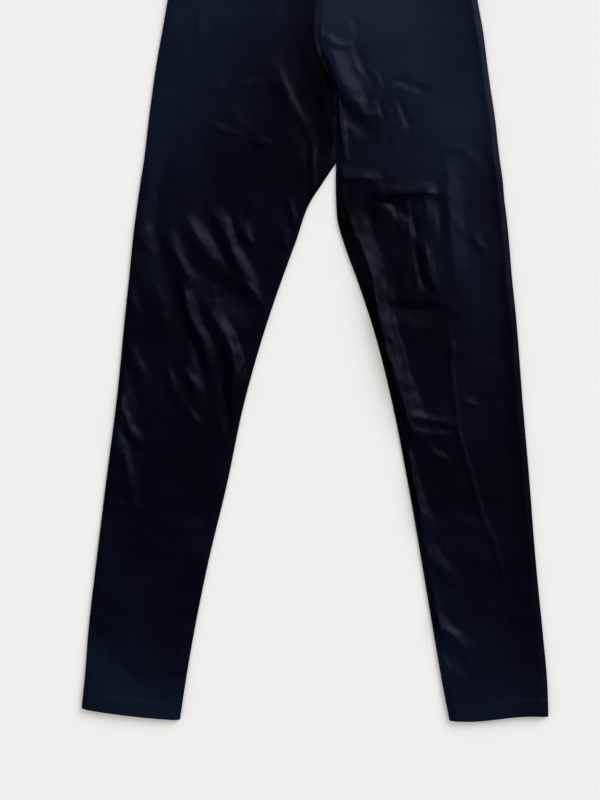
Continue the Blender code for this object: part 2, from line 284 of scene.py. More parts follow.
leftCreases = [
    dict(line=[(-19, 161, 0.6), (-3, 148, 2.2), (16, 145, 0.4)], lit=6, shade=4),
    dict(line=[(-20, 133, 0.5), (-12, 134, 1.3), (-3, 135, 0.2)], lit=5, shade=4),
    dict(line=[(-6, 110, 0.8), (0, 84, 1.8), (5, 60, 2.4), (10, 32, 2.4),
               (15, 4, 0.8)], lit=5, shade=4),
    dict(line=[(1, 147, 0.8), (9, 116, 3.2), (20, 90, 3.8), (36, 70, 2.6),
               (50, 61, 0.5)], lit=17, shade=9),
    dict(line=[(20, 180, -0.2), (28, 168, -1.1), (36, 156, -0.2)], lit=7, shade=7),
    dict(line=[(24, 152, -0.3), (36, 124, -1.7), (47, 94, -0.3)], lit=8, shade=8),
    dict(line=[(43, 117, 0.2), (50, 106, 0.9), (57, 95, 0.2)], lit=4, shade=3),
    dict(line=[(70, 105, -0.2), (92, 98, -1.7), (113, 89, -0.3)], lit=5, shade=7),
    dict(line=[(54, 75, -0.2), (56, 69, -1.0), (58, 62, -0.2)], lit=4, shade=4),
    dict(line=[(78, 78, -0.2), (87, 59, -1.2), (95, 42, -0.2)], lit=6, shade=5),
    dict(line=[(13, 70, -0.5), (30, 52, -2.2), (46, 40, -0.5)], lit=10, shade=9),
    dict(line=[(112, 16, 0.1), (137, 20, 0.6), (163, 15, 0.6), (180, -15, 0.1)], lit=6, shade=5),
    dict(line=[(3, -13, 1.4), (25, -14, 3.2), (48, -16, 1.0)], lit=9, shade=5),
    dict(line=[(48, -34, 0.8), (78, -33, 3.6), (104, -32, 3.8), (128, -34, 1.4)], lit=11, shade=4.5),
    dict(line=[(66, -38, -0.6), (80, -52, -2.2), (94, -70, -0.4)], lit=9, shade=9),
    dict(line=[(110, -34, 0.6), (112, -52, 1.9), (113, -72, 0.3)], lit=7, shade=4),
    dict(line=[(129, -35, -0.5), (132, -58, -1.8), (135, -86, -0.3)], lit=7, shade=7),
    dict(line=[(142, 2, 0.4), (144, -40, 2.4), (146, -80, 2.8), (155, -155, 0.4)], lit=15, shade=9),
    dict(line=[(101, -88, 0.5), (110, -112, 2.5), (119, -134, 0.4)], lit=7, shade=6),
    dict(line=[(94, -40, -0.4), (98, -66, -2.2), (103, -100, -1.8), (112, -150, -0.4)], lit=6, shade=6),
    dict(line=[(102, -117, -0.2), (106, -134, -1.2), (111, -153, -0.2)], lit=5, shade=5),
    dict(line=[(167, -86, 0.2), (176, -97, 1.3), (185, -106, 0.2)], lit=7, shade=5),
    dict(line=[(25, -68, 1.4), (42, -110, 3.8), (52, -147, 5.2), (60, -185, 6.0), (72, -228, 6.6),
               (86, -277, 6.8), (95, -307, 6.0), (105, -337, 1.2)], lit=17, shade=8),
    dict(line=[(108, -121, 0.3), (116, -137, 1.9), (124, -153, 0.3)], lit=7, shade=5),
    dict(line=[(66, -173, -0.4), (100, -175, -2.0), (134, -177, -0.4)], lit=6, shade=18),
    dict(line=[(140, -205, 0.1), (142, -225, 0.7), (145, -275, 1.0), (151, -327, 0.9),
               (168, -387, 0.9), (181, -434, 0.8), (195, -465, 0.7), (208, -514, 0.1)], lit=4, shade=4),
    dict(line=[(153, -287, 0.4), (162, -290, 1.5), (171, -293, 0.2)], lit=6, shade=3),
    dict(line=[(97, -307, 0.6), (122, -312, 1.7), (146, -315, 0.3)], lit=6, shade=4),
    dict(line=[(99, -324, 0.4), (118, -328, 1.2), (141, -329, 0.3)], lit=5, shade=5),
    dict(line=[(114, -345, 0.3), (126, -354, 1.5), (138, -363, 0.2)], lit=6, shade=5),
    dict(line=[(86, -346, 1.2), (94, -387, 5.0), (104, -420, 4.6), (117, -452, 0.8)], lit=12, shade=7),
    dict(line=[(105, -456, 0.4), (126, -483, 2.0), (147, -506, 0.3)], lit=10, shade=7),
    dict(line=[(112, -519, 0.8), (126, -555, 3.2), (150, -576, 2.6),
               (170, -590, 0.4)], lit=11, shade=8),
    dict(line=[(128, -585, -0.3), (146, -600, -1.7), (166, -616, -0.3)], lit=9, shade=10),
    dict(line=[(200, -110, -0.1), (207, -200, -0.5), (214, -330, -0.6),
               (223, -460, -0.1)], lit=10, shade=24),
    dict(line=[(165, 212, 0.3), (169.5, 194, 1.0), (186.5, 95, 1.1), (199, 0, 1.3),
               (210, -95, 1.1), (218.5, -192, 1.2), (226, -289, 1.2), (234.5, -388, 1.1),
               (242, -485, 0.8), (250, -583, 0.4)], lit=4.5, shade=9),
]

# Creases of the back layer, where it lifts off the surface

backCreases = [
    dict(line=[(-150, 150, 0), (-120, 60, 0.9), (-60, 10, 0.2)], lit=10, shade=8),
    dict(line=[(-90, 160, 0), (-60, 90, 0.8), (-25, 40, 0.3)], lit=9, shade=8),
    dict(line=[(120, 170, 0), (90, 80, 0.8), (30, 20, 0.3)], lit=9, shade=9),
    dict(line=[(150, 90, 0), (110, 10, 0.9), (50, -30, 0.3)], lit=10, shade=8),
    dict(line=[(-200, -60, 0.1), (-160, -110, 1.0), (-100, -150, 0.2)], lit=10, shade=8),
    dict(line=[(-190, -150, 0.1), (-150, -190, 0.9), (-110, -230, 0.2)], lit=9, shade=9),
    dict(line=[(-240, -240, 0.1), (-210, -290, 1.0), (-160, -330, 0.2)], lit=10, shade=8),
    dict(line=[(-262, -350, 0.1), (-230, -390, 0.8), (-180, -410, 0.1)], lit=9, shade=8),
    dict(line=[(-250, -480, 0.1), (-220, -520, 0.6), (-195, -560, 0.1)], lit=10, shade=10),
    dict(line=[(40, -80, 0.1), (90, -120, 1.0), (170, -130, 0.2)], lit=10, shade=8),
    dict(line=[(60, -190, 0.1), (120, -220, 0.9), (190, -225, 0.1)], lit=9, shade=9),
    dict(line=[(90, -290, 0.1), (140, -330, 1.0), (200, -340, 0.2)], lit=10, shade=8),
    dict(line=[(105, -390, 0.1), (150, -430, 0.8), (210, -440, 0.1)], lit=9, shade=8),
    dict(line=[(130, -520, 0.1), (170, -560, 0.6), (220, -570, 0.1)], lit=10, shade=10),
]


tent = dict(
    spread=1.15,  # how much wider every slope is than its row says
    crest=0.07,  # rounding of the crest and of the foot
    foot=0.09,
    fullness=1.6,  # how much higher every crest is
    sway=1.6,  # how far an edge strays
    swayPitch=17,
    plateau=0.45,  # how much longer a crease keeps its height towards its ends
)


def creaseLift(creases, x, y):
    # Beside each line a tent, 1 - d / w, with its top and foot rounded, where w differs on its two
    # sides: its crest lies half the lit slope to the line's right, so that the line runs down the
    # middle of that slope. Its height is the line's at the nearest point, and it slopes down alike
    # beyond an end. A height h below the greatest one, m, becomes h (1 + plateau (1 - h / m)). The
    # place is first swayed a little, so that no edge is ruled.
    swayX = ripple(x, y, 61, tent["swayPitch"], 0.3)
    swayY = ripple(x, y, 62, tent["swayPitch"], 1.8)
    x, y = x + tent["sway"] * swayX, y + tent["sway"] * swayY
    lift = np.zeros(x.shape)
    for crease in creases:
        points = np.array(crease["line"], dtype=float)
        length = np.hypot(*np.diff(points[:, :2], axis=0).T).sum()
        count = int(length / 3) + 8
        marks = np.arange(len(points))
        path = smoothCurve(marks, points, np.linspace(0, marks[-1], count))
        tangent = np.gradient(path[:, :2], axis=0)
        pace = np.hypot(*tangent.T)
        tangent /= pace[:, None]
        reach = 3 * max(crease["lit"], crease["shade"])
        low, high = path[:, :2].min(axis=0) - reach, path[:, :2].max(axis=0) + reach
        near = (x > low[0]) & (x < high[0]) & (y > low[1]) & (y < high[1])
        if not near.any():
            continue
        px, py = x[near], y[near]
        i = np.hypot(px[:, None] - path[:, 0], py[:, None] - path[:, 1]).argmin(axis=1)
        dx, dy = px - path[i, 0], py - path[i, 1]
        along = dx * tangent[i, 0] + dy * tangent[i, 1]
        across = dy * tangent[i, 0] - dx * tangent[i, 1] + 0.5 * tent["spread"] * crease["lit"]
        mark = i + along / pace[i]
        height = np.interp(mark, np.arange(count), path[:, 2])
        most = np.abs(path[:, 2]).max()
        height = height * (1 + tent["plateau"] * (1 - np.abs(height) / most))
        beyond = np.maximum(0, np.maximum(-mark, mark - count + 1)) * pace[i]
        width = np.where(across > 0, crease["lit"], crease["shade"])
        away = np.hypot(across / width, beyond / (0.7 * width)) / tent["spread"]
        away = np.hypot(away, tent["crest"]) - tent["crest"]
        left = (1 - away + np.hypot(1 - away, tent["foot"])) / (1 + math.hypot(1, tent["foot"]))
        lift[near] += height * left
    return lift * tent["fullness"]


crumples = [
    # where the front is crumpled: x, y, radius and how much
    (62, 50, 36, 1.0), (45, 110, 26, 0.9), (60, -50, 34, 0.9), (105, -90, 34, 0.9),
    (120, -215, 26, 0.4), (70, -150, 26, 0.5), (125, -330, 24, 0.35), (105, -420, 24, 0.5),
    (-150, -110, 46, 0.6), (-105, -70, 34, 0.5), (-150, -215, 40, 0.5), (-185, -285, 34, 0.6),
    (-255, -310, 26, 0.6), (-40, 10, 26, 0.5), (-110, 60, 40, 0.2),
]

wrinkles = dict(
    down=0.06,  # heights of the faint ones that run down the legs
    across=0.05,
    crumpled=0.7,  # of the sharp ones, where the cloth is crumpled
    fine=0.14,
    gathered=0.35,  # of the upright ones under the waistband
    gatheredFrom=198,
    back=0.25,  # of the back layer's
    backFlat=0.2,  # how much of these stays on the surface
)


def crumpledHere(x, y):
    # The sum of each place's exp(-(d / radius)^2), at most 1
    total = np.zeros(x.shape)
    for placeX, placeY, radius, amount in crumples:
        total += amount * np.exp(-((x - placeX) ** 2 + (y - placeY) ** 2) / radius**2)
    return np.minimum(total, 1)


def frontLift(x, y):
    # The placed creases, then faint wrinkles that run down the legs and cross them, and sharper
    # ones, whose tops are 1 - |ripple|, where the cloth is crumpled
    placed = creaseLift(rightCreases, x, y) + creaseLift(leftCreases, x, y)
    drawn = wrinkles["down"] * ripple(x, y, 11, 34, -0.45) + wrinkles["across"] * ripple(x, y, 12, 13, -0.6)
    crumpled = wrinkles["crumpled"] * (1 - np.abs(ripple(x, y, 15, 19, -0.5, 0.5, 0.8)))
    crossed = crumpledHere(x, y) * (crumpled + wrinkles["fine"] * ripple(x, y, 13, 9, 1.2, 0.8))
    nearWaist = smoothStep(wrinkles["gatheredFrom"], waistSeam, y)
    gathered = wrinkles["gathered"] * nearWaist * ripple(x, y, 14, 11, 0.0, 0.05, 0.3)
    return placed + drawn + crossed + gathered + cloth["slack"]


def backLift(x, y):
    # Only what rises above the surface it lies on
    faint = wrinkles["back"] * ripple(x, y, 21, 60, 0.3)
    return np.maximum(0, creaseLift(backCreases, x, y) + faint - wrinkles["backFlat"])


# Meshes

sharpEdge = 55.0  # degrees


def quadMesh(name, points, quads, uv, merged=None, masks=None):
    # One smooth mesh from arrays, with its faces turned outwards: their signed volume is positive
    if merged is None:
        merged = np.arange(len(points))
    ends = merged[quads]
    a, b, c, d = (points[ends[:, k]] for k in range(4))
    volume = (a * np.cross(b, c)).sum() + (a * np.cross(c, d)).sum()
    if volume < 0:
        quads, ends = quads[:, ::-1], ends[:, ::-1]
    used, ends = np.unique(ends, return_inverse=True)
    ends = ends.reshape(quads.shape)
    mesh = bpy.data.meshes.new(name)
    mesh.vertices.add(len(used))
    mesh.vertices.foreach_set("co", (points[used] * mm + crotch).ravel())
    mesh.loops.add(ends.size)
    mesh.loops.foreach_set("vertex_index", ends.ravel().astype(np.int32))
    mesh.polygons.add(len(ends))
    mesh.polygons.foreach_set("loop_start", np.arange(0, ends.size, 4, dtype=np.int32))
    mesh.update(calc_edges=True)
    layer = mesh.uv_layers.new(name="cloth")
    layer.data.foreach_set("uv", (uv[quads] * mm).ravel())
    for key, values in (masks or {}).items():
        mesh.attributes.new(key, "FLOAT", "POINT").data.foreach_set("value", values[used])
    mesh.validate()
    mesh.shade_smooth()
    mesh.set_sharp_from_angle(angle=math.radians(sharpEdge))
    piece = bpy.data.objects.new(name, mesh)
    bpy.context.scene.collection.objects.link(piece)
    return piece


# Rows and columns of a piece


def trunkRows(up, outerName, side):
    # Rows above the crotch, open at both rise seams
    front = lookUp(trunkTable, "up", "front", up) + side * cloth["seamGap"] / 2
    return dict(
        y=up, slant=0 * up, front=front, inner=front,
        outer=lookUp(trunkTable, "up", outerName, up),
        back=lookUp(trunkTable, "up", "back", up) + side * cloth["seamGap"] / 2,
        closing=np.clip(1 - up / cloth["closing"], 0, 1),
        seam=0 * up, nearHem=0 * up,
    )


def legRows(table, down, side):
    # Rows below the crotch, each a flattened ring
    inner = lookUp(table, "down", "inner", down) + side * cloth["seamGap"] / 2
    return dict(
        y=-down, slant=lookUp(table, "down", "slant", down), front=inner, inner=inner, back=inner,
        outer=lookUp(table, "down", "outer", down),
        closing=1 + 0 * down,
        seam=lookUp(table, "down", "seam", down),
        nearHem=smoothStep(table[-1]["down"] - legParts["bendFrom"], table[-1]["down"], down),
    )


def joinRows(parts):
    return {key: np.concatenate([part[key] for part in parts]) for key in parts[0]}


sideFold = dict(
    innerRipple=0.15,  # how unevenly thick the inner and outer folds are
    outerRipple=0.18,
    puff=0.16,  # share by which the outer fold swells beside a raised crease
    puffMost=4,
    puffFrom=6,  # how far from the fold the crease is measured
)


def clothLines(rows, inset, columns, lift):
    # Each row starts at the front seam or inner fold, crosses the front to the outer fold, turns
    # round it in half a circle and comes back underneath. inset sets it in from the outer face. A
    # trough never goes lower than the two layers and their clearance need.
    y, side = rows["y"], rows["side"]
    thick = lookUp(layTable, "up", "thick", y)
    edgeLift = lift["front"](rows["outer"] - side * sideFold["puffFrom"], y)
    innerRadius = thick / 2 + sideFold["innerRipple"] * ripple(0 * y, y, 31, 45, 1.57)
    outerRadius = thick / 2 + sideFold["outerRipple"] * ripple(0 * y, y, 32, 60, 1.57)
    outerRadius = outerRadius + sideFold["puff"] * np.clip(edgeLift, 0, sideFold["puffMost"])
    innerReach, outerReach = innerRadius - inset, outerRadius - inset
    closing = rows["closing"]
    middle = (closing * innerReach + (1 - closing) * innerRadius)[:, None]
    col = lambda a: a[:, None]

    quarter = np.linspace(0, math.pi / 2, columns["quarter"] + 1)
    half = np.linspace(math.pi / 2, -math.pi / 2, 2 * columns["quarter"] + 3)[1:-1]
    frontTurn = col(rows["front"] + side * innerRadius) - side * middle * np.cos(quarter)
    backTurn = col(rows["back"] + side * innerRadius) - side * middle * np.cos(quarter[::-1])
    bend = rows["outer"] - side * outerRadius
    start = rows["front"] + side * innerRadius
    width = np.abs(bend - start)
    centre = np.maximum(rows["seam"], columns["seamLeast"]) - innerRadius
    beside = columns["seamBeside"]
    first = np.linspace(0, 1, columns["first"], endpoint=False)[1:]
    cluster = np.linspace(-1, 1, columns["cluster"])
    rest = np.linspace(0, 1, columns["front"] + 1)[1:]
    lead = np.concatenate([
        col(centre - beside) * first,
        col(centre) + beside * cluster,
        col(centre + beside) + col(width - centre - beside) * rest,
    ], axis=1)
    frontFlat = col(start) + side * lead
    backFlat = col(bend) + np.linspace(0, 1, columns["back"] + 1) * col(backTurn[:, 0] - bend)
    backFlat = backFlat[:, 1:-1]
    outerTurn = col(bend) + side * col(outerReach) * np.cos(half)
    x = np.concatenate([frontTurn, frontFlat, outerTurn, col(bend), backFlat, backTurn], axis=1)
    across = (x - col(rows["inner"])) / col(rows["outer"] - rows["inner"])
    bow = rows["bow"] * np.sqrt(np.abs(np.sin(math.pi * across)))
    bow = bow + rows["wave"] * np.sin(2 * math.pi * across)
    yy = col(y) + col(rows["slant"]) * (across - 0.5) + col(rows["nearHem"]) * bow

    share = lead / col(width)
    startEase = cloth["seamEase"] + (cloth["innerEase"] - cloth["seamEase"]) * closing
    ease = smoothStep(0, col(startEase), lead) * smoothStep(0, cloth["outerEase"], col(width) - lead)
    frontX, frontY = frontFlat, yy[:, frontTurn.shape[1]:frontTurn.shape[1] + lead.shape[1]]
    under = lift["back"](frontX, frontY)
    above = lift["front"](frontX, frontY) + cloth["loft"] * np.sin(math.pi * np.clip(share, 0, 1))
    top = 2 * (col(innerRadius) * (1 - share) + col(outerRadius) * share) - col(inset)
    rise = np.maximum(above, 0) + cloth["sink"] * np.minimum(above, 0) + cloth["printThrough"] * under
    lowest = 2 * cloth["wall"] + cloth["clearance"] + under - col(thick)
    rise = np.maximum(rise, lowest)
    top = top + ease * rise + lift["seam"](rows, lead + col(innerRadius), frontX, frontY)

    easeBack = smoothStep(0, cloth["outerEase"], np.abs(backFlat - col(bend)))
    easeBack = easeBack * smoothStep(0, cloth["outerEase"], np.abs(backFlat - col(backTurn[:, 0])))
    backY = yy[:, -backTurn.shape[1] - backFlat.shape[1]:-backTurn.shape[1]]
    bottom = col(inset) + easeBack * lift["back"](backFlat, backY)
    draw = col(closing * innerReach) * (1 - np.sin(quarter))
    seamEdge = lift["seam"](rows, np.abs(frontTurn - col(rows["front"])), frontTurn, col(y) + 0 * frontTurn)
    z = np.concatenate([
        col(innerRadius + innerReach) - draw + seamEdge * (1 - col(closing)),
        top,
        col(outerRadius) + col(outerReach) * np.sin(half),
        col(outerRadius - outerReach),
        bottom,
        col(innerRadius - innerReach) + draw[:, ::-1],
    ], axis=1)
    return np.stack([x, yy, z], axis=2)


def clothShell(name, rows, walls, hemTurn, columns, lift, masks):
    # Down the outside, round the bottom edge in half a circle, up the inside, over the top edge.
    # Open rows also close along their seams, from the outside to the inside.
    count = len(rows["y"])
    outside = clothLines(rows, 0 * rows["y"], columns, lift)
    inside = clothLines(rows, walls, columns, lift)
    turn = np.linspace(0, math.pi, hemTurn + 1)[1:-1]
    last = {
        key: np.repeat(value[-1:], len(turn)) if np.ndim(value) else value
        for key, value in rows.items()
    }
    radius = walls[-1] / 2
    last["y"] = last["y"] - radius * np.sin(turn)
    edge = clothLines(last, radius - radius * np.cos(turn), columns, lift)
    grid = np.concatenate([outside, edge, inside[::-1]])
    total, wide = grid.shape[:2]
    ids = np.arange(total * wide).reshape(total, wide)
    merged = ids.copy()
    closed = np.concatenate([rows["closing"], last["closing"], rows["closing"][::-1]]) >= 1
    merged[closed, -1] = merged[closed, 0]

    down = np.concatenate([ids, ids[:1]])
    quads = [np.stack([down[:-1, :-1], down[:-1, 1:], down[1:, 1:], down[1:, :-1]], axis=2).reshape(-1, 4)]
    for i in np.flatnonzero(rows["closing"][:-1] < 1):
        o, p, q, r = ids[i], ids[i + 1], ids[total - 2 - i], ids[total - 1 - i]
        quads.append(np.array([[o[0], p[0], q[0], r[0]], [o[-1], r[-1], q[-1], p[-1]]]))
    quads = np.concatenate(quads)

    steps = np.hypot(*np.diff(grid, axis=1)[:, :, :2].transpose(2, 0, 1))
    around = np.concatenate([np.zeros((total, 1)), np.cumsum(steps, axis=1)], axis=1)
    around -= around[:, wide // 2][:, None]
    uv = np.stack([around, np.broadcast_to(grid[:, :1, 1], around.shape)], axis=2).reshape(-1, 2)
    points = grid.reshape(-1, 3)
    piece = quadMesh(name, points, quads, uv, merged.ravel(), masks(points[:, 0], points[:, 1]))
    return piece, outside


# The two legs, each one piece round front and back, with its hem turned up

legColumns = dict(quarter=5, first=5, cluster=11, front=78, back=26, seamLeast=5.0, seamBeside=2.6)
legParts = dict(
    rowPitch=2.9,
    hemFine=0.5,  # rows beside the hem's stitch line
    hemBeside=2.5,
    hemRows=8,  # below the stitch line
    hemStep=(1.2, 0.2),  # heights above the stitch line between which the wall thickens
    hemTurn=5,  # steps round the edge
    inseam=0.4,  # depth of the inseam's line
    inseamWidth=0.9,
    inseamStart=2.0,  # how far inside the edge the inseam has come when it is full
    allowanceAt=4.5,
    allowanceWidth=3.4,
    hemLine=0.06,  # depth of the hem's stitch line
    hemLineWidth=0.9,
    hemSwell=0.45,  # how much fuller the turned-up edge is
    hemSwellTo=(0.5, -2.5),  # heights above the stitch line between which it swells
    bendFrom=70.0,  # above the hem, where the cloth starts to follow the hem's bend
)


def seamShape(rows, fromEdge, x, y):
    # Troughs exp(-(d / w)^2) along the rise seam and the inseam, a low flat ridge on the inner side
    # of each for the seam allowance, and the hem's stitch line with the fuller edge below it
    col = lambda a: np.asarray(a)[:, None]
    isTrunk = col(rows["closing"] < 1)
    rise = cloth["seamDip"] * np.exp(-((fromEdge / cloth["seamDipWidth"]) ** 2))
    fromAllowance = (fromEdge - cloth["allowanceAt"]) / cloth["allowanceWidth"]
    riseAllowance = cloth["allowance"] * np.exp(-(fromAllowance**4)) * (rows["side"] < 0)
    fade = smoothStep(0, legParts["inseamStart"], col(rows["seam"]))
    away = fromEdge - col(rows["seam"])
    inseam = legParts["inseam"] * np.exp(-((away / legParts["inseamWidth"]) ** 2))
    fromAllowance = (away - legParts["allowanceAt"]) / legParts["allowanceWidth"]
    allowance = cloth["allowance"] * np.exp(-(fromAllowance**4))
    onTrunk = smoothStep(*cloth["seamFade"], y) * (riseAllowance - rise)
    shape = np.where(isTrunk, onTrunk, fade * (allowance - inseam))
    above = col(rows["y"] - rows["hemLine"]) + 0 * x
    line = legParts["hemLine"] * np.exp(-((above / legParts["hemLineWidth"]) ** 2))
    swell = legParts["hemSwell"] * smoothStep(*legParts["hemSwellTo"], above)
    return shape + swell - line


# painted light and shade at x and y on the front: -1 black for painted shade in hollows, 0 purplish black
# for painted shade, 1 navy, 2 greyer navy and 3 palest for painted light and painted reflection of the
# window
rightPaintedShading = [
    (-205, 190, 1.3), (-139, 187, 1.6), (-105, 187, 0.8), (-32, 187, 0.1), (-60, 180, 1.1),
    (-85, 130, 0.35), (-55, 130, 0.4), (-205, 126, 1.0), (-166, 126, 1.1), (-130, 120, 0.8),
    (-30, 110, -0.9), (-220, 65, 1.2), (-180, 65, 0.85), (-139, 65, 0.5), (-100, 65, 0.45),
    (-59, 50, -0.5), (-15, 50, -1.0), (-225, 4, 1.1), (-185, 4, 0.6), (-139, 0, 0.0), (-80, 0, -0.1),
    (-30, -10, -0.5), (-228, -57, 0.65), (-180, -57, 0.25), (-120, -57, 0.0), (-60, -57, 0.0),
    (-240, -118, 0.1), (-218, -118, 0.45), (-180, -118, 0.1), (-120, -118, 0.0), (-80, -130, 0.0),
    (-245, -179, 0.15), (-200, -179, -0.3), (-140, -179, 0.0), (-250, -240, 0.0), (-190, -240, 0.1),
    (-130, -240, -0.1), (-262, -301, 0.4), (-220, -301, 0.0), (-150, -301, -0.2), (-275, -380, 0.15),
    (-230, -390, 0.0), (-170, -390, 0.0), (-283, -460, 0.3), (-230, -460, 0.05), (-175, -460, 0.15),
    (-290, -545, 0.3), (-240, -545, 0.25), (-190, -545, 0.05), (-240, -600, 0.35), (-300, -610, 0.85),
    (-195, -610, 0.3), (-275, -640, 1.15), (-295, -665, 0.8), (-245, -672, 1.3), (-200, -672, 1.0),
    (-28, 150, -0.4), (-22, 78, -1.0), (-38, 60, -0.7), (-12, 22, -1.0), (-48, 22, -0.5), (-203, -33, 0.15),
    (-75, 100, 0.2), (-105, 30, 0.1),
]
leftPaintedShading = [
    (0, 190, 2.2), (168, 190, 1.3), (100, 187, 2.3), (135, 187, 0.9), (40, 185, 2.6), (10, 126, 1.2),
    (102, 126, 1.9), (150, 126, 1.0), (183, 126, 0.9), (49, 120, 1.5), (60, 65, 0.6), (102, 65, 1.2),
    (150, 65, 1.7), (186, 65, 1.3), (22, 60, 0.3), (102, 4, 0.75), (129, 4, 1.1), (156, 4, 1.6),
    (190, 4, 0.2), (60, 0, 0.8), (20, -5, 0.3), (78, -54, -0.7), (102, -57, 1.2), (130, -57, 0.1),
    (156, -57, 1.2), (190, -57, -0.2), (45, -62, -0.9), (40, -118, 0.1), (90, -118, -0.5),
    (129, -118, 0.4), (156, -118, 1.1), (190, -118, 0.3), (210, -130, 0.2), (84, -179, -0.5),
    (129, -179, -0.2), (165, -179, 0.55), (190, -179, 0.45), (212, -179, -0.2), (100, -240, 0.1),
    (129, -240, -0.2), (165, -240, 0.35), (190, -240, 0.35), (215, -240, -0.2), (125, -301, 0.1),
    (165, -301, 0.15), (190, -301, 0.3), (218, -301, -0.2), (125, -390, -0.1), (170, -390, -0.1),
    (222, -390, -0.3), (125, -460, 0.3), (165, -460, 0.1), (230, -460, -0.2), (132, -545, 0.3),
    (170, -545, 0.15), (235, -545, 0.05), (140, -608, 0.9), (180, -610, 0.3), (240, -610, 0.2),
    (150, -660, 0.6), (190, -667, 1.1), (245, -667, 0.45),
    (200, 60, 0.5), (203, -10, 0.1), (208, -240, -0.4), (214, -330, -0.4),
]


# how the painted light and shade spreads from its listed places, with random mottle and streaks
paintedShadingMap = dict(
    spread=33.0,  # how far each place counts
    evened=(200, 221),  # heights between which the cloth becomes plain navy, as the waistband is
    streaks=0.03,
    mottle=0.08,
    fineMottle=0.06,
)


def legPaintedShading(places, x, y):
    # Painted light and shade: each place weighs exp(-(d / spread)^2) in the mean, and an uneven mottle is
    # added
    total, weight = np.zeros(x.shape), np.full(x.shape, 1e-9)
    for placeX, placeY, value in places:
        w = np.exp(-((x - placeX) ** 2 + (y - placeY) ** 2) / paintedShadingMap["spread"] ** 2) + 1e-7
        total += w * value
        weight += w
    streaks = paintedShadingMap["streaks"] * ripple(x, 0.25 * y, 43, 12, 0.0, 0.25, 0.4)
    mottle = paintedShadingMap["mottle"] * ripple(x, y, 41, 70, 0.4)
    mottle = mottle + paintedShadingMap["fineMottle"] * ripple(x, y, 42, 25, 1.1) + streaks
    evened = total / weight + (1 - total / weight) * smoothStep(*paintedShadingMap["evened"], y)
    return np.clip(evened + mottle, -1, 3)


legLift = dict(front=frontLift, back=backLift, seam=seamShape)


def makeLeg(name, table, places, outerName, side, bow, wave):
    # bow and wave: how far the hem's edge bends, as one arch and as one full wave
    hem = table[-1]["down"]
    line = hem - cloth["hemDepth"]
    fine = legParts["hemFine"]
    trunk = np.linspace(waistSeam, 0, int(waistSeam / legParts["rowPitch"]))
    upper = np.linspace(0, line - legParts["hemBeside"], int(line / legParts["rowPitch"]))[1:]
    middle = np.arange(upper[-1] + fine, line + legParts["hemBeside"] + fine / 2, fine)
    lower = np.linspace(middle[-1], hem - cloth["hemWall"] / 2, legParts["hemRows"])[1:]
    down = np.concatenate([upper, middle, lower])
    rows = joinRows([trunkRows(trunk, outerName, side), legRows(table, down, side)])
    rows.update(side=side, hemLine=-line, bow=bow, wave=wave)
    turnedUp = smoothStep(*legParts["hemStep"], rows["y"] + line)
    walls = cloth["wall"] + (cloth["hemWall"] - cloth["wall"]) * turnedUp
    # the first value paints light and shade on the cloth, the second says where it is crumpled
    masks = lambda x, y: dict(paintedShading=legPaintedShading(places, x, y), crumple=crumpledHere(x, y))
    piece, outside = clothShell(name, rows, walls, legParts["hemTurn"], legColumns, legLift, masks)
    return piece, rows, outside


rightCloth, rightRows, rightOutside = makeLeg(
    "right_leg_cloth", rightTable, rightPaintedShading, "right", side=-1, bow=-2.4, wave=0.0)
leftCloth, leftRows, leftOutside = makeLeg(
    "left_leg_cloth", leftTable, leftPaintedShading, "left", side=1, bow=0.0, wave=-1.7)
print("legs made:", len(rightCloth.data.polygons), "and", len(leftCloth.data.polygons), "faces")


# Waistband, a plain ring with its cloth gathered on the elastic

band = dict(
    rows=26,
    wall=1.9,  # two layers
    gap=0.2,  # above the legs
    dip=0.6,  # how deep its seam sinks
    dipWidth=1.5,
    gather=0.55,  # height of its gathers on the front, and their share on the back
    backShare=0.3,
    # the band's even navy on the scale of painted light and shade, with none painted on it
    paintedShading=0.9,
)
bandColumns = dict(quarter=5, first=3, cluster=3, front=190, back=60, seamLeast=8.0, seamBeside=2.0)


def bandGather(x, y):
    # Short upright gathers, firmest beside the two edges
    height = bandTable[-1]["up"] - waistSeam
    edges = 0.6 + 0.4 * np.cos((y - waistSeam) / height * 2 * math.pi)
    return band["gather"] * (1 + edges * ripple(x, y, 51, 6.5, 0.0, 0.04, 0.25))


def bandEdges(rows, fromEdge, x, y):
    # The band sinks by dip exp(-(d / dipWidth)^2) where it is sewn on
    return -band["dip"] * np.exp(-((np.abs(y - waistSeam) / band["dipWidth"]) ** 2)) + 0 * x


def makeBand():
    top = bandTable[-1]["up"]
    bottom = waistSeam + band["gap"]
    radius = band["wall"] / 2
    y = np.linspace(top - radius, bottom + radius, band["rows"])
    left = lookUp(bandTable, "up", "left", y)
    rows = dict(
        y=y, slant=0 * y, front=left, inner=left, back=left,
        outer=lookUp(bandTable, "up", "right", y),
        closing=1 + 0 * y, seam=bandColumns["seamLeast"] + 0 * y, nearHem=0 * y,
        side=-1, bow=0.0, wave=0.0,
    )
    walls = band["wall"] + 0 * y
    back = lambda x, y: band["backShare"] * bandGather(x, y)
    lift = dict(front=bandGather, back=back, seam=bandEdges)
    masks = lambda x, y: dict(paintedShading=band["paintedShading"] + 0 * x, crumple=0 * x)
    piece, _ = clothShell("waistband_cloth", rows, walls, legParts["hemTurn"], bandColumns, lift, masks)
    return piece


bandCloth = makeBand()
print("waistband made:", len(bandCloth.data.polygons), "faces")


# Stitches of the hems: two lines of short raised threads all round, close above the edge

stitch = dict(
    pitch=2.7,
    length=2.1,
    radius=0.12,
    lines=(0.0, 3.6),  # below the hem's stitch line
    sink=-0.04,  # into the cloth
    halfWay=3,  # height between the hem's front and back
    rings=(0.0, 0.18, 0.5, 0.82, 1.0),  # along each thread
    sides=6,
)


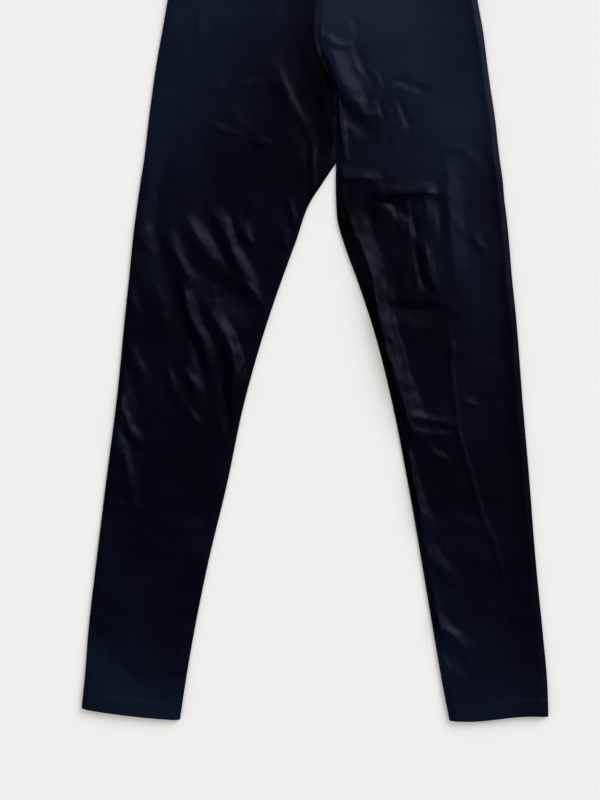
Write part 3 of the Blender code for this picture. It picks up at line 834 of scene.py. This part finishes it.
def threadBumps(loop):
    # Each thread is a spindle: rings of sides points whose radius is r sin(pi t)^0.5 along its length
    step = np.hypot(*np.diff(loop[:, :2], axis=0).T) + np.abs(np.diff(loop[:, 2]))
    length = np.concatenate([[0], np.cumsum(step)])
    starts = np.arange(stitch["pitch"] / 2, length[-1] - stitch["pitch"], stitch["pitch"])
    ringShare = np.array(stitch["rings"])
    marks = starts[:, None] + stitch["length"] * ringShare
    centre = np.stack([np.interp(marks, length, loop[:, k]) for k in range(3)], axis=-1)
    tangent = centre[:, -1] - centre[:, 0]
    tangent /= np.linalg.norm(tangent, axis=1)[:, None]
    upright = np.cross(tangent, [0, 1, 0])
    upright /= np.linalg.norm(upright, axis=1)[:, None]
    cross = np.cross(tangent, upright)
    angle = np.linspace(0, 2 * math.pi, stitch["sides"], endpoint=False)
    radius = stitch["radius"] * np.sqrt(np.sin(math.pi * np.clip(ringShare, 0.01, 0.99)))
    ring = np.cos(angle)[:, None] * upright[:, None, None] + np.sin(angle)[:, None] * cross[:, None, None]
    points = centre[:, :, None] + radius[:, None, None] * ring
    wide, deep = len(angle), len(ringShare)
    ids = np.arange(len(starts) * deep * wide).reshape(-1, deep, wide)
    following = np.roll(ids, -1, axis=2)
    quads = np.stack([ids[:, :-1], following[:, :-1], following[:, 1:], ids[:, 1:]], axis=-1).reshape(-1, 4)
    return points.reshape(-1, 3), quads


def hemStitches(name, rows, outside):
    points, quads, base = [], [], 0
    for shift in stitch["lines"]:
        i = int(np.abs(rows["y"] - (rows["hemLine"] - shift)).argmin())
        loop = np.concatenate([outside[i], outside[i][:1]])
        loop = loop + np.array([0, 0, stitch["sink"]]) * np.sign(loop[:, 2:] - stitch["halfWay"])
        p, q = threadBumps(loop)
        points.append(p)
        quads.append(q + base)
        base += len(p)
    points, quads = np.concatenate(points), np.concatenate(quads)
    return quadMesh(name, points, quads, points[:, :2])


rightStitches = hemStitches("right_hem_stitches", rightRows, rightOutside)
leftStitches = hemStitches("left_hem_stitches", leftRows, leftOutside)
print("hem stitches made")


# Materials


class Nodes:
    # Adds nodes to a tree and links their inputs, which are given as values or sockets, by name or,
    # as i0 or i1, by number
    def __init__(self, tree):
        self.tree = tree
        self.count = 0

    def add(self, kind, settings=None, **inputs):
        node = self.tree.nodes.new(kind)
        node.location = (200 * (self.count % 8), -260 * (self.count // 8))
        self.count += 1
        for key, value in (settings or {}).items():
            setattr(node, key, value)
        for key, value in inputs.items():
            index = int(key[1:]) if key[0] == "i" and key[1:].isdigit() else key.replace("_", " ")
            socket = node.inputs[index]
            if isinstance(value, bpy.types.NodeSocket):
                self.tree.links.new(value, socket)
            else:
                socket.default_value = value
        return node

    def math(self, operation, a, b=0.0):
        return self.add("ShaderNodeMath", dict(operation=operation), i0=a, i1=b).outputs[0]

    def noise(self, vector, scale, detail=2.0, rough=0.5):
        node = self.add("ShaderNodeTexNoise", Vector=vector, Scale=scale, Detail=detail, Roughness=rough)
        return node.outputs["Fac"]


loopShape = dict(slant=0.6, depth=0.7, fleckScale=900.0)  # depth: how much deeper it is between loops


def knitGroup():
    # Jersey seen close to: upright ribs of V-shaped loops. Vector is in metres along and across
    # the cloth. Height is rib times loop, and Fleck a fine uneven grain.
    tree = bpy.data.node_groups.new("knitFace", "ShaderNodeTree")
    tree.interface.new_socket("Vector", in_out="INPUT", socket_type="NodeSocketVector")
    for name in ("Wale", "Course"):
        tree.interface.new_socket(name, in_out="INPUT", socket_type="NodeSocketFloat")
    for name in ("Height", "Fleck"):
        tree.interface.new_socket(name, in_out="OUTPUT", socket_type="NodeSocketFloat")
    nodes = Nodes(tree)
    source = nodes.add("NodeGroupInput")
    sink = nodes.add("NodeGroupOutput")
    split = nodes.add("ShaderNodeSeparateXYZ", Vector=source.outputs["Vector"])
    across = nodes.math("DIVIDE", split.outputs["X"], source.outputs["Wale"])
    along = nodes.math("DIVIDE", split.outputs["Y"], source.outputs["Course"])
    arm = nodes.math("MULTIPLY", nodes.math("PINGPONG", across, 0.5), 2.0)
    rib = nodes.math("SINE", nodes.math("MULTIPLY", arm, math.pi))
    slanted = nodes.math("ADD", along, nodes.math("MULTIPLY", arm, loopShape["slant"]))
    loop = nodes.math("SINE", nodes.math("MULTIPLY", slanted, 2 * math.pi))
    half = loopShape["depth"] / 2
    raised = nodes.math("ADD", nodes.math("MULTIPLY", loop, half), 1 - half)
    height = nodes.math("MULTIPLY", rib, raised)
    fleck = nodes.noise(source.outputs["Vector"], loopShape["fleckScale"], 3.0, 0.7)
    tree.links.new(height, sink.inputs["Height"])
    tree.links.new(fleck, sink.inputs["Fleck"])
    return tree


knit = knitGroup()

jersey = dict(
    tones=(  # from painted shade in black over purplish black, navy and a lighter greyer navy to the palest; the lighter stops are painted light and painted reflection of the window
        (0.0002, 0.0001, 0.0008, 1), (0.0005, 0.0005, 0.0046, 1), (0.0014, 0.0058, 0.0182, 1),
        (0.0048, 0.0118, 0.0275, 1), (0.0105, 0.0176, 0.0345, 1),
    ),
    fleck=0.9, fleckRoughness=0.2,  # how much the fleck changes the colour and the roughness
    roughness=0.46, specular=0.185, specularTint=(0.80, 0.74, 1.0, 1),
    sheen=0.004, sheenTint=(0.55, 0.65, 1.0, 1), sheenRoughness=0.4,
    cloudScale=22.0, cloudAmount=0.25,  # random unevenness added to the tone
    wale=0.0009, course=0.0007, knitDepth=0.00003,  # metres
    crumpleScale=95.0, crumpleDepth=0.0007, crumpleStretch=(1.0, 0.45, 1.0), crumpleTurn=0.25,
    ridgeScale=44.0, ridgeDepth=0.0032,  # where the crumple mask says
)


def jerseyMaterial(name, values):
    # Colour goes from purplish black to navy to a lighter greyer navy by the piece's own value of
    # painted light and shade, broken up by a fleck; bump is the knit over sharp ridges, where the
    # piece's crumple value says, over fine crumples that run down the cloth
    material = bpy.data.materials.new(name)
    material.use_nodes = True
    tree = material.node_tree
    shader = tree.nodes["Principled BSDF"]
    nodes = Nodes(tree)
    uv = nodes.add("ShaderNodeUVMap", dict(uv_map="cloth")).outputs["UV"]
    place = nodes.add("ShaderNodeTexCoord").outputs["Object"]
    # the piece's value of painted light and shade, from painted shade at -1 to painted light and reflection
    # at 3
    paintedShading = nodes.add("ShaderNodeAttribute", dict(attribute_name="paintedShading")).outputs["Fac"]
    knitNode = nodes.add("ShaderNodeGroup", dict(node_tree=knit), Vector=uv,
                         Wale=values["wale"], Course=values["course"])
    cloud = nodes.math("SUBTRACT", nodes.noise(place, values["cloudScale"], 4.0, 0.6), 0.5)
    paintedShadingWithCloud = nodes.math("ADD", paintedShading, nodes.math("MULTIPLY", cloud, values["cloudAmount"]))
    share = nodes.math("MULTIPLY", nodes.math("ADD", paintedShadingWithCloud, 1.0), 0.25)  # of the way from -1 to 3
    ramp = nodes.add("ShaderNodeValToRGB", i0=share)
    stops = ramp.color_ramp.elements
    while len(stops) < len(values["tones"]):
        stops.new(0.5)
    for k, tone in enumerate(values["tones"]):
        stops[k].position, stops[k].color = k / (len(values["tones"]) - 1), tone
    fleck = knitNode.outputs["Fleck"]
    grain = nodes.math("ADD", nodes.math("MULTIPLY", fleck, values["fleck"]), 1 - values["fleck"] / 2)
    shaded = nodes.add("ShaderNodeMix", dict(data_type="RGBA", blend_type="MULTIPLY"),
                       i0=1.0, i6=ramp.outputs["Color"])
    grainColour = nodes.add("ShaderNodeCombineColor", Red=grain, Green=grain, Blue=grain)
    tree.links.new(grainColour.outputs[0], shaded.inputs[7])
    stretched = nodes.add("ShaderNodeMapping", Vector=place, Scale=values["crumpleStretch"],
                          Rotation=(0, 0, values["crumpleTurn"]))
    crumple = nodes.noise(stretched.outputs[0], values["crumpleScale"], 5.0, 0.55)
    first = nodes.add("ShaderNodeBump", Strength=0.5, Distance=values["crumpleDepth"], Height=crumple)
    crumpled = nodes.add("ShaderNodeAttribute", dict(attribute_name="crumple")).outputs["Fac"]
    ridges = nodes.add("ShaderNodeTexNoise", dict(noise_type="RIDGED_MULTIFRACTAL"),
                       Vector=stretched.outputs[0], Scale=values["ridgeScale"], Detail=3.0,
                       Roughness=0.5, Distortion=0.4)
    sharp = nodes.math("MULTIPLY", ridges.outputs["Fac"], crumpled)
    second = nodes.add("ShaderNodeBump", Strength=1.0, Distance=values["ridgeDepth"], Height=sharp,
                       Normal=first.outputs[0])
    third = nodes.add("ShaderNodeBump", Strength=0.6, Distance=values["knitDepth"],
                      Height=knitNode.outputs["Height"], Normal=second.outputs[0])
    tree.links.new(shaded.outputs[2], shader.inputs["Base Color"])
    tree.links.new(third.outputs[0], shader.inputs["Normal"])
    uneven = nodes.math("MULTIPLY", fleck, values["fleckRoughness"])
    rough = nodes.math("ADD", uneven, values["roughness"] - values["fleckRoughness"] / 2)
    tree.links.new(rough, shader.inputs["Roughness"])
    shader.inputs["Specular IOR Level"].default_value = values["specular"]
    shader.inputs["Specular Tint"].default_value = values["specularTint"]
    shader.inputs["Sheen Weight"].default_value = values["sheen"]
    shader.inputs["Sheen Roughness"].default_value = values["sheenRoughness"]
    shader.inputs["Sheen Tint"].default_value = values["sheenTint"]
    return material


thread = dict(
    dark=(0.0012, 0.0022, 0.0060, 1), light=(0.0030, 0.0050, 0.0110, 1),
    roughness=0.5, specular=0.04, twistScale=1500.0, twistDepth=0.0001,
)


def threadMaterial():
    # Polyester thread, a little glossier than the cloth, with a twist along it
    material = bpy.data.materials.new("thread")
    material.use_nodes = True
    tree = material.node_tree
    shader = tree.nodes["Principled BSDF"]
    nodes = Nodes(tree)
    place = nodes.add("ShaderNodeTexCoord").outputs["Object"]
    twist = nodes.noise(place, thread["twistScale"])
    mixed = nodes.add("ShaderNodeMix", dict(data_type="RGBA"),
                      i0=twist, i6=thread["dark"], i7=thread["light"])
    bump = nodes.add("ShaderNodeBump", Strength=0.4, Distance=thread["twistDepth"], Height=twist)
    tree.links.new(mixed.outputs[2], shader.inputs["Base Color"])
    tree.links.new(bump.outputs[0], shader.inputs["Normal"])
    shader.inputs["Roughness"].default_value = thread["roughness"]
    shader.inputs["Specular IOR Level"].default_value = thread["specular"]
    return material


jerseyLook = jerseyMaterial("jersey", jersey)
bandLook = jerseyMaterial("waistbandJersey", dict(jersey, wale=0.0008, crumpleDepth=0.0004))
threadLook = threadMaterial()
for piece, look in (
    (rightCloth, jerseyLook), (leftCloth, jerseyLook), (bandCloth, bandLook),
    (rightStitches, threadLook), (leftStitches, threadLook),
):
    piece.data.materials.append(look)
print("materials made")


# Floor and light

studio = dict(
    floorSide=12.0, floorDrop=0.0004,  # metres
    floorColour=(0.885, 0.885, 0.885, 1), floorRoughness=0.6, floorSpecular=0.1,
    worldColour=(1.0, 0.98, 0.93, 1), worldStrength=0.75,
    sunColour=(1.0, 1.02, 1.14), sunStrength=1.48,
    sunAngle=36.0, sunHeight=32.0, sunTurn=46.0,  # degrees: spread, height, and turn from +X to +Y
)


def makeStudio():
    half, low = studio["floorSide"] / 2, -studio["floorDrop"]
    mesh = bpy.data.meshes.new("floor")
    corners = [(-half, -half, low), (half, -half, low), (half, half, low), (-half, half, low)]
    mesh.from_pydata(corners, [], [(0, 1, 2, 3)])
    floor = bpy.data.objects.new("floor", mesh)
    bpy.context.scene.collection.objects.link(floor)
    material = bpy.data.materials.new("paleFloor")
    material.use_nodes = True
    shader = material.node_tree.nodes["Principled BSDF"]
    shader.inputs["Base Color"].default_value = studio["floorColour"]
    shader.inputs["Roughness"].default_value = studio["floorRoughness"]
    shader.inputs["Specular IOR Level"].default_value = studio["floorSpecular"]
    mesh.materials.append(material)
    floor.visible_glossy = False

    world = bpy.data.worlds.new("softWorld")
    world.use_nodes = True
    background = world.node_tree.nodes["Background"]
    background.inputs["Color"].default_value = studio["worldColour"]
    background.inputs["Strength"].default_value = studio["worldStrength"]
    world.cycles_visibility.glossy = False  # the dark cloth mirrors only the window
    bpy.context.scene.world = world

    lamp = bpy.data.lights.new("window", "SUN")
    lamp.energy, lamp.angle = studio["sunStrength"], math.radians(studio["sunAngle"])
    lamp.color = studio["sunColour"]
    light = bpy.data.objects.new("window", lamp)
    bpy.context.scene.collection.objects.link(light)
    light.rotation_euler = (0, math.radians(90 - studio["sunHeight"]), math.radians(studio["sunTurn"]))
    bpy.context.scene.view_settings.view_transform = "Standard"


makeStudio()
print("floor and light made")


# What each piece stands for: each joins the body, and the solids the cloth pieces take the place of are
# hidden

for piece, node in ((rightCloth, "right_leg"), (leftCloth, "left_leg"), (bandCloth, "waistband")):
    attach(piece, body)
    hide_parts(node)
for piece in (rightStitches, leftStitches):
    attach(piece, body)
